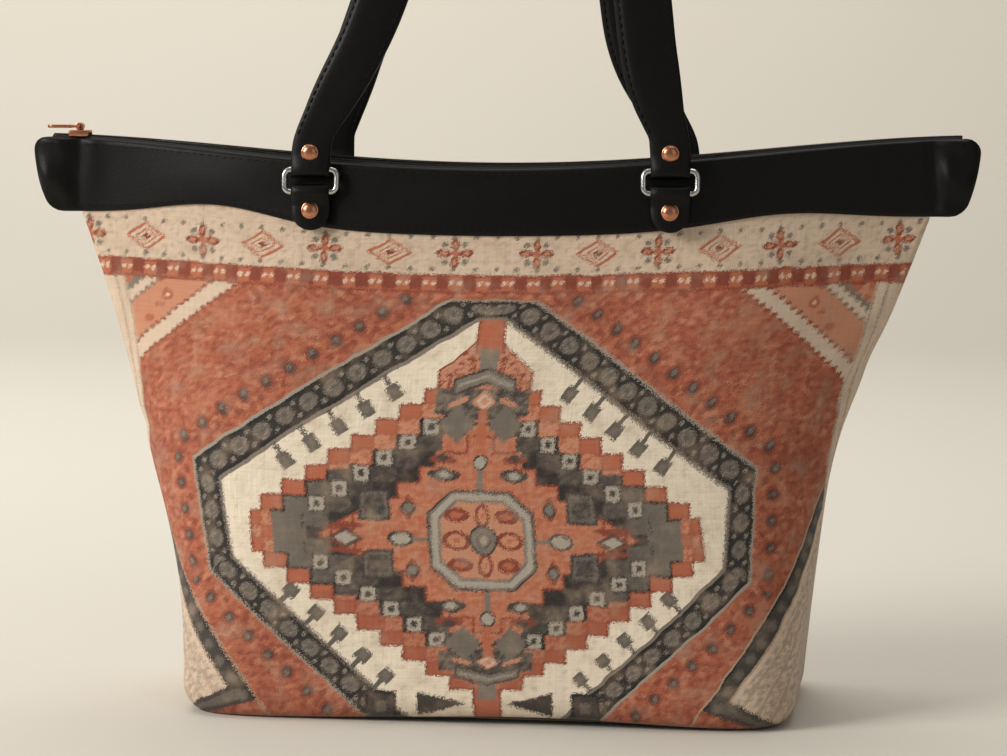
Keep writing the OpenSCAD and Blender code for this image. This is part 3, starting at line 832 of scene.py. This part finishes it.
def band_swell(x, share, side):
    """Soft lumps of the leather: full ears beyond a crease at each end, and a slow wave between."""
    far = abs(x)
    out = 0.5 * MM * math.sin(math.pi * share)
    out += 0.5 * MM * math.sin(x * 48 + 1.3 * side) * math.sin(math.pi * share)
    out *= 1 - bell(far, TAB_X, 0.022)
    ear = smooth((far - 0.2045) / 0.006) * (1 - smooth((far - 0.2175) / 0.007))
    out += ear * (2.6 * MM * bell(share, 0.55, 0.45) + 0.9 * MM * math.sin(share * 11 + x * 160))
    out -= 1.5 * MM * bell(far, 0.203 + 0.0012 * math.sin(share * 5), 0.0026) * mix(0.6, 1.0, share)
    out += 0.8 * MM * bell(far, 0.196, 0.005) * share
    return out


def edge_wave(x, side):
    """How far the band's lower edge rises between each tab and ear."""
    if side > 0:
        return 8.5 * MM * bell(x, -0.132, 0.04) + 5.5 * MM * bell(x, 0.135, 0.04)
    return 4.0 * MM * bell(abs(x), 0.134, 0.04)


EAR_FOOT_R, EAR_TIP_X, EAR_TIP_L = 0.006, 0.2205, 0.0045
BAND_STITCH, STRAP_STITCH = (2.6 * MM, 0.9 * MM, 0.32 * MM), (2.8 * MM, 0.9 * MM, 0.34 * MM)


def band_point(u, share, out, side):
    """A point of the band: along it from -1 to 1, up it from 0 to 1 and out through it from 0 to 1."""
    below = max(0.0, EAR_FOOT_R - share * BAND_H)
    x = u * (ear_x(share) - EAR_FOOT_R + math.sqrt(max(0.0, EAR_FOOT_R ** 2 - below ** 2)))
    z = BODY_H + share * BAND_H + edge_wave(x, side) * max(0.0, 1 - share) ** 1.5
    end = math.sqrt(max(0.0, 1 - clamp01((abs(x) - EAR_TIP_X) / EAR_TIP_L) ** 2))
    depth = BAND_T * mix(0.5, out, end) + band_swell(x, share, side) * out * end
    return Vector((x * side, -side * (band_in(x, z) + depth), z - sag(x, z)))


def make_band(name, side):
    """Half of the leather band, with a row of stitches along its lower and upper edge."""
    def place(s, t):
        return band_point(1 - 2 * s, *band_loop(t), side)

    bm = shaped_tube(200, 50, place)
    piece = finish_piece(f"{name}_band_leather", bm, LEATHER, "bag", [f"{name}_band"])
    rows = bmesh.new()
    count = 900
    for share in (0.085, 0.915):
        path = [band_point(1.96 * k / count - 0.98, share, 1.0, side) for k in range(count + 1)]
        sew(rows, path, [Vector((0, -side, 0))] * count, *BAND_STITCH)
    finish_piece(f"{name}_band_stitches", rows, THREAD, "bag")


# Zip along the mouth

ZIP_HALF = BAND_W / 2 - ZIP_END


def make_zip(name, side):
    """A woven tape inside the band's top edge, and the coil that stands along its upper rim."""
    def rim(x):
        return RIM_Z - sag(x, RIM_Z)

    def tape_point(s, t):
        x = mix(ZIP_HALF, -ZIP_HALF, s)
        z = RIM_Z - TAPE_H + (TAPE_H + COIL_D * 0.45) * t
        y = -(band_in(x, z) - TAPE_GAP)
        return Vector((x * side, y * side, z - sag(x, z)))

    bm = shaped_grid(160, 8, tape_point)
    face_way(bm, Vector((0, -side, 0)))
    tape = finish_piece(f"{name}_zip_tape_cloth", bm, TAPE_CLOTH, "bag", [f"{name}_zip_tape"])
    thicken(tape, TAPE_T)
    turns, wire = 400, 0.36 * MM

    def coil_point(s, t):
        x = mix(ZIP_HALF, -ZIP_HALF, s)
        turn, round_wire = 2 * math.pi * turns * s, 2 * math.pi * t
        reach = COIL_D / 2 - wire + wire * math.cos(round_wire)
        y = -(band_in(x, RIM_Z) - TAPE_GAP - TAPE_T / 2) + reach * math.cos(turn)
        z = rim(x) + COIL_D / 2 + reach * math.sin(turn)
        return Vector(((x + wire * math.sin(round_wire)) * side, y * side, z))

    bm = shaped_tube(turns * 6, 5, coil_point)
    finish_piece(f"{name}_zip_coil_wire", bm, COIL, "bag", [f"{name}_zip_coil"])


SLIDER_L, SLIDER_W, SLIDER_H, SLIDER_Z = 0.010, 0.0074, 0.003, RIM_Z + 0.000016
CHANNEL_W, CHANNEL_H, BRIDGE_D, BRIDGE_Z = 0.005, 0.0018, 0.0016, 0.272816
EYE_W, PULL_L, PULL_W, PULL_T, PULL_GAP = 0.0046, 0.016, 0.006, 0.0016, 0.0002
NECK_L, NECK_REACH, PLATE_LAP = 0.0046, 0.0026, 0.0012
SLIDER_ROUND, METAL_ROUND, PLATE_ROUND = 0.8 * MM, 0.35 * MM, 0.3 * MM


def round_edges(bm, edges, offset, segments):
    bmesh.ops.bevel(bm, geom=edges, offset=offset, segments=segments,
                    profile=0.5, affect="EDGES", material=-1)


def soften_edges(bm, offset):
    """Rounds every sharp edge of a small metal piece."""
    bmesh.ops.recalc_face_normals(bm, faces=bm.faces)
    sharp = [edge for edge in bm.edges if len(edge.link_faces) == 2 and edge.calc_face_angle() > 0.9]
    round_edges(bm, sharp, offset, 3)


def raise_faces(bm, offset):
    """Draws the faces of a flat outline out into a solid."""
    raised = bmesh.ops.extrude_face_region(bm, geom=list(bm.faces))
    verts = [item for item in raised["geom"] if isinstance(item, bmesh.types.BMVert)]
    bmesh.ops.translate(bm, verts=verts, vec=offset)


def add_part(bm, part, place):
    """Adds a finished small solid to a larger piece, moved by its place."""
    mesh = bpy.data.meshes.new("part")
    bmesh.ops.transform(part, matrix=place, verts=part.verts)
    part.to_mesh(mesh)
    part.free()
    bm.from_mesh(mesh)
    bpy.data.meshes.remove(mesh)


def make_slider():
    """The slider: a channel over the two coils, with an arched bridge that carries the pull."""
    bm = bmesh.new()
    body = bmesh.new()
    wide, slot = SLIDER_W / 2, CHANNEL_W / 2
    outline = [(-wide, 0), (-slot, 0), (-slot, CHANNEL_H), (slot, CHANNEL_H), (slot, 0), (wide, 0),
               (wide, SLIDER_H), (-wide, SLIDER_H)]
    body.faces.new([body.verts.new((0, y, z)) for y, z in outline])
    raise_faces(body, (SLIDER_L, 0, 0))
    corners = [edge for edge in body.edges if abs(edge.verts[0].co.z - edge.verts[1].co.z) > SLIDER_H * 0.9]
    round_edges(body, corners, SLIDER_ROUND, 5)
    soften_edges(body, METAL_ROUND)
    add_part(bm, body, Matrix.Translation((-SLIDER_X - SLIDER_L / 2, 0, SLIDER_Z)))
    reach, foot = SLIDER_W / 2 - BRIDGE_D / 2, SLIDER_Z + SLIDER_H - 0.4 * MM

    def arch(s, t):
        turn = math.pi * clamp01((s - 0.2) / 0.6)
        y = -reach * signed_power(math.cos(turn), 0.5)
        z = mix(foot, BRIDGE_Z, smooth(min(s, 1 - s) / 0.2))
        drop = Vector((0, -math.cos(turn), math.sin(turn)))
        round_wire = 2 * math.pi * t
        offset = drop * math.cos(round_wire) + Vector((math.sin(round_wire), 0, 0))
        return Vector((-SLIDER_X, y, z)) + offset * BRIDGE_D / 2

    bridge = shaped_tube(48, 14, arch)
    add_part(bm, bridge, Matrix.Identity(4))
    finish_piece("zip_slider_body", bm, COPPER, "bag", ["zip_slider"], sharp=50)


def make_washer(hole_r, outer_r, stretch, thickness):
    """A flat plate with rounded ends and a round hole near one of them."""
    part = bmesh.new()
    outer = bmesh.ops.create_circle(part, segments=40, radius=outer_r)["verts"]
    for vert in outer:
        if vert.co.x > 1e-6:
            vert.co.x += stretch
    bmesh.ops.create_circle(part, segments=40, radius=hole_r)
    bmesh.ops.bridge_loops(part, edges=part.edges)
    raise_faces(part, (0, 0, thickness))
    soften_edges(part, PLATE_ROUND)
    return part


def make_pull():
    """The pull: an eye round the bridge, a short neck and a plate with a hole at its tip."""
    bm = bmesh.new()
    bore = BRIDGE_D / 2 + PULL_GAP
    eye = make_washer(bore, bore + PULL_T / 2, 0.0, EYE_W)
    on_bridge = Matrix.Translation((-SLIDER_X, EYE_W / 2, BRIDGE_Z))
    add_part(bm, eye, on_bridge @ Matrix.Rotation(math.radians(90), 4, "X"))
    neck = bmesh.new()
    bmesh.ops.create_cube(neck, size=1.0)
    bmesh.ops.scale(neck, verts=neck.verts, vec=(NECK_L, EYE_W * 0.8, PULL_T * 0.8))
    soften_edges(neck, METAL_ROUND)
    add_part(bm, neck, Matrix.Translation((-SLIDER_X - bore - NECK_REACH, 0, BRIDGE_Z)))
    tip = PULL_L - PULL_W / 2
    plate = make_washer(PULL_W / 6, PULL_W / 2, tip - SLIDER_L / 2 - PULL_W / 2 + PLATE_LAP, PULL_T)
    add_part(bm, plate, Matrix.Translation((-SLIDER_X - tip, 0, BRIDGE_Z - PULL_T / 2)))
    finish_piece("zip_pull_plate", bm, COPPER, "pull", ["zip_pull"], sharp=50)


# Fittings at each handle end

TAB_Y, TAB_Z, LEAN = -0.0276016, 0.234173, math.radians(6.70638)
BAR_Y, TAB_SWELL = -0.00395, 0.0065
BAR_PITCH = RING_H + WIRE_D
PIVOT_Y, PIVOT_Z = -0.0293291, 0.253306


def on_band(point, x, side):
    """A point given on the band's face, turned onto the lean of the band beside a tab and onto its side."""
    y = TAB_Y + point.y * math.cos(LEAN) + point.z * math.sin(LEAN)
    z = TAB_Z - point.y * math.sin(LEAN) + point.z * math.cos(LEAN)
    return Vector(((point.x + x) * side, y * side, z))


def leaf(angle, half_width, half_depth, square=0.45):
    """A point of a leather strap's section, with full flat faces and round edges."""
    across = half_width * signed_power(math.cos(angle), square)
    deep = half_depth * signed_power(math.sin(angle), 0.7)
    return across, deep * (1 - 0.12 * (across / max(half_width, 1e-9)) ** 4)


def make_tab(name, x, side):
    """A tongue of doubled leather, folded over the ring's lower bar and rounded at its foot."""
    foot, head = -TAB_W / 2, TAB_RISE + LOOP_R

    def place(s, t):
        z = mix(foot, head, 0.5 - 0.5 * math.cos(math.pi * s))
        above = z - TAB_RISE
        blend = smooth((z - TAB_RISE + TAB_SWELL) / TAB_SWELL)
        width = math.sqrt(max(0.0, (TAB_W / 2) ** 2 - min(0.0, z) ** 2))
        depth = mix(TONGUE_T / 2, LOOP_R, blend)
        if above > 0:
            depth = math.sqrt(max(0.0, LOOP_R ** 2 - above ** 2))
        if z < 0:
            depth *= mix(0.55, 1.0, clamp01(width / (TAB_W / 2)) ** 0.5)
        across, deep = leaf(2 * math.pi * t, width, depth)
        y = mix(-SEAT_GAP - TONGUE_T / 2, BAR_Y, blend) + deep
        return on_band(Vector((across, y, z)), x, side)

    bm = shaped_tube(56, 32, place)
    finish_piece(f"{name}_leather", bm, LEATHER, "bag", [name])


def add_rivet(bm, place):
    """A domed rivet head with a thin rim, turned about its own axis and set at its place."""
    outline = [(0.0, 1.0), (0.3, 0.97), (0.55, 0.85), (0.76, 0.6),
               (0.88, 0.3), (0.93, 0.2), (1.0, 0.16), (1.0, 0.0)]
    before = set(bm.verts)
    verts = [bm.verts.new((r * RIVET_D / 2, -h * RIVET_H, 0)) for r, h in outline]
    edges = [bm.edges.new(pair) for pair in zip(verts, verts[1:])]
    bmesh.ops.spin(bm, geom=verts + edges, cent=(0, 0, 0), axis=(0, 1, 0),
                   angle=2 * math.pi, steps=28, use_merge=True)
    made = [vert for vert in bm.verts if vert not in before]
    for vert in made:
        vert.co = place(vert.co)
    bmesh.ops.remove_doubles(bm, verts=made, dist=MERGE_GAP)


def make_rivets(name, body, places, nodes):
    bm = bmesh.new()
    for place in places:
        add_rivet(bm, place)
    bmesh.ops.recalc_face_normals(bm, faces=bm.faces)
    finish_piece(name, bm, COPPER, body, nodes, sharp=50)


def make_ring(name, x, side, body):
    """A rounded rectangle of round wire through the tab and the strap's end."""
    half_x, half_z = (RING_W + WIRE_D) / 2, BAR_PITCH / 2
    steps, track = 10, []
    for corner in range(4):
        for step in range(steps):
            turn = math.pi / 2 * (corner + step / (steps - 1))
            middle_x = (half_x - RING_CORNER_R) * (1 if corner in (0, 3) else -1)
            middle_z = (half_z - RING_CORNER_R) * (1 if corner < 2 else -1)
            out = Vector((math.cos(turn), 0, math.sin(turn)))
            track.append((Vector((middle_x, 0, middle_z)) + out * RING_CORNER_R, out))

    def place(s, t):
        at, out = track[round(s * len(track)) % len(track)]
        turn = 2 * math.pi * t
        spot = at + out * (WIRE_D / 2 * math.cos(turn)) + Vector((0, WIRE_D / 2 * math.sin(turn), 0))
        return on_band(spot + Vector((0, BAR_Y, TAB_RISE + half_z)), x, side)

    bm = shaped_tube(len(track), 16, place)
    finish_piece(f"{name}_wire", bm, NICKEL, body, [name])


# Handles: the folded end takes up FOLD_SHARE of each half of a strap

FOLD_SHARE, STITCH_LINE = 0.14, 0.83


def leg(share):
    """Place and direction of the strap's middle line, from the straight folded end to the crown."""
    knots = (Vector((TAB_X, FOLD_L)), Vector((TAB_X * 0.96, FOLD_L + HANDLE_H * 0.16)),
             Vector((TAB_X * 0.33, HANDLE_H)), Vector((0.0, HANDLE_H)))
    rest = 1 - share
    at = knots[0] * rest ** 3 + knots[1] * 3 * rest ** 2 * share
    at = at + knots[2] * 3 * rest * share ** 2 + knots[3] * share ** 3
    run = (knots[1] - knots[0]) * rest ** 2 + (knots[2] - knots[1]) * 2 * rest * share
    run = run + (knots[3] - knots[2]) * share ** 2
    return at, run.normalized()


def strap_point(share, across, deep, side):
    """A point of the strap: across from edge to edge and deep from face to face, each from -1 to 1."""
    half = 1 - abs(2 * share - 1)
    if half < FOLD_SHARE:
        height = mix(-LOOP_R, FOLD_L, half / FOLD_SHARE)
        at, run, widen, twist = Vector((TAB_X, height)), Vector((0, 1)), 0.0, 0.0
        depth = mix(LOOP_R, TONGUE_T / 2, smooth(height / 0.008))
        if height < 0:
            depth = math.sqrt(max(0.0, LOOP_R ** 2 - height ** 2))
    else:
        reach = (half - FOLD_SHARE) / (1 - FOLD_SHARE)
        at, run = leg(reach)
        widen = smooth(reach / 0.22)
        run = mix(Vector((0, 1)), run, smooth(reach / 0.07)).normalized()
        twist = math.radians(90) * smooth((reach - 0.5) / 0.45)
        depth = mix(TONGUE_T, STRAP_T, widen) / 2
    width = mix(TAB_W, STRAP_W, widen) / 2
    groove = 1 - 0.2 * bell(abs(across), STITCH_LINE, 0.05) * widen
    crown = (1 - 0.22 * across ** 4) * groove
    along = Vector((run.x, 0, run.y))
    outward = Vector((run.y, 0, -run.x))
    wide = outward * math.cos(twist) + Vector((0, math.sin(twist), 0))
    thick = wide.cross(along)
    spot = Vector((at.x, 0, at.y)) + wide * (width * across) + thick * (depth * deep * crown)
    flip = 1 if share <= 0.5 else -1
    lean = 11.0 * MM * smooth((spot.z - 0.006) / 0.09) * (1 - 0.6 * smooth((spot.z - 0.1) / 0.09))
    if side < 0:
        lean = -5.0 * MM * bell(spot.z, 0.05, 0.035) * smooth(spot.z / 0.03)
    pinch = 6.0 * MM * bell(spot.z, 0.055, 0.04) * smooth(spot.z / 0.03)
    return Vector(((spot.x - pinch) * flip * side + lean, (PIVOT_Y + spot.y) * side, PIVOT_Z + spot.z))


def make_handle(name, side):
    """A padded strap of folded leather, narrow and flat at its ends, with stitches along both edges."""
    def place(s, t):
        across = signed_power(math.cos(2 * math.pi * t), 0.55)
        deep = signed_power(math.sin(2 * math.pi * t), 0.6)
        return strap_point(s, across, deep, side)

    bm = shaped_tube(260, 40, place)
    body = f"{name}_grip"
    piece = finish_piece(f"{name}_handle_leather", bm, LEATHER, body, [f"{name}_handle"])
    rows = bmesh.new()
    count = 1200
    for across in (-STITCH_LINE, STITCH_LINE):
        for face in (-1, 1):
            shares = [mix(0.075, 0.925, k / count) for k in range(count + 1)]
            path = [strap_point(s, across, face * 1.02, side) for s in shares]
            inner = [strap_point(s, across, 0.0, side) for s in shares]
            outward = [(a - b).normalized() for a, b in zip(path, inner)]
            sew(rows, path, outward, *STRAP_STITCH)
    finish_piece(f"{name}_handle_stitches", rows, THREAD, body)

    def rivet_seat(flip):
        def seat(point):
            return Vector(((flip * TAB_X + point.x) * side, (PIVOT_Y - TONGUE_T / 2 + point.y) * side,
                           PIVOT_Z + STRAP_RISE + point.z))
        return seat

    make_rivets(f"{name}_strap_rivet_heads", body, [rivet_seat(-1), rivet_seat(1)], [f"{name}_strap_rivets"])


def make_fittings(name, side):
    for hand, flip in (("left", -1), ("right", 1)):
        x = flip * TAB_X * side
        make_tab(f"{name}_{hand}_tab", x, side)
        make_ring(f"{name}_{hand}_ring", x, side, f"{name}_rings")

    def rivet_seat(flip):
        def seat(point):
            return on_band(point + Vector((0, -SEAT_GAP - TONGUE_T, 0)), flip * TAB_X, side)
        return seat

    make_rivets(f"{name}_tab_rivet_heads", "bag", [rivet_seat(-1), rivet_seat(1)], [f"{name}_tab_rivets"])


for part, way in SIDES.items():
    make_panel(part, way)
    make_band(part, way)
    make_zip(part, way)
    make_fittings(part, way)
    make_handle(part, way)
make_base()
make_lining()
make_slider()
make_pull()


# Stage, light and camera

def make_stage():
    """A pale table that curves up into a pale wall."""
    bm = bmesh.new()
    bmesh.ops.create_grid(bm, x_segments=1, y_segments=1, size=3.0)
    back = [edge for edge in bm.edges if all(vert.co.y > 2.9 for vert in edge.verts)]
    raised = bmesh.ops.extrude_edge_only(bm, edges=back)
    top = [item for item in raised["geom"] if isinstance(item, bmesh.types.BMVert)]
    bmesh.ops.translate(bm, verts=top, vec=(0, 0, 4))
    fold = [edge for edge in bm.edges if all(vert.co.y > 2.9 and vert.co.z < 0.1 for vert in edge.verts)]
    round_edges(bm, fold, 1.2, 16)
    bmesh.ops.recalc_face_normals(bm, faces=bm.faces)
    mesh = bpy.data.meshes.new("stage")
    bm.to_mesh(mesh)
    bm.free()
    mesh.shade_smooth()
    material, tree, shader, coordinates = new_material("stage")
    wall = axes(tree, coordinates.outputs["Object"])[2].below(0.9) / 0.9
    pale = paint(tree, ink("d6d1c7"), ink("eee7d9"), wall)
    feed(tree, shader, {"Base Color": pale, "Roughness": 0.8})
    mesh.materials.append(material)
    stage = bpy.data.objects.new("stage", mesh)
    bpy.context.collection.objects.link(stage)


def add_light(name, place, target, size, power, colour):
    lamp = bpy.data.lights.new(name, "AREA")
    lamp.size = size
    lamp.energy = power
    lamp.color = colour
    light = bpy.data.objects.new(name, lamp)
    light.location = place
    light.rotation_euler = (Vector(target) - Vector(place)).to_track_quat("-Z", "Y").to_euler()
    bpy.context.collection.objects.link(light)


def add_camera(azimuth, elevation, distance, target, lens):
    a, e = math.radians(azimuth), math.radians(elevation)
    toward = Vector((math.sin(a) * math.cos(e), -math.cos(a) * math.cos(e), math.sin(e)))
    view = bpy.data.cameras.new("camera")
    view.lens = lens
    view.clip_start = 0.05
    camera = bpy.data.objects.new("camera", view)
    camera.location = Vector(target) + toward * distance
    camera.rotation_euler = (-toward).to_track_quat("-Z", "Y").to_euler()
    bpy.context.collection.objects.link(camera)
    bpy.context.scene.camera = camera


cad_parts["base_board"].material_slots[0].material = BOARD
make_stage()
add_light("key", (-1.5, -0.9, 1.0), (0, 0, 0.15), 0.8, 30, (1.0, 0.96, 0.9))
add_light("fill", (1.1, -1.6, 0.8), (0, 0, 0.15), 1.4, 3, (0.95, 0.97, 1.0))
add_light("top", (0.0, 0.5, 1.9), (0, 0.4, 0.0), 1.6, 18, (1.0, 0.99, 0.96))
add_light("wall", (-1.6, 0.6, 1.9), (-0.9, 3.0, 1.3), 2.0, 48, (1.0, 0.98, 0.94))
world = bpy.data.worlds.new("studio")
world.use_nodes = True
world.node_tree.nodes["Background"].inputs["Color"].default_value = ink("f1ece2")
world.node_tree.nodes["Background"].inputs["Strength"].default_value = 0.2
bpy.context.scene.world = world
bpy.context.scene.view_settings.view_transform = "Standard"
add_camera(azimuth=8.0, elevation=6.0, distance=1.35, target=(0.0026, 0.0, 0.154), lens=101.5)
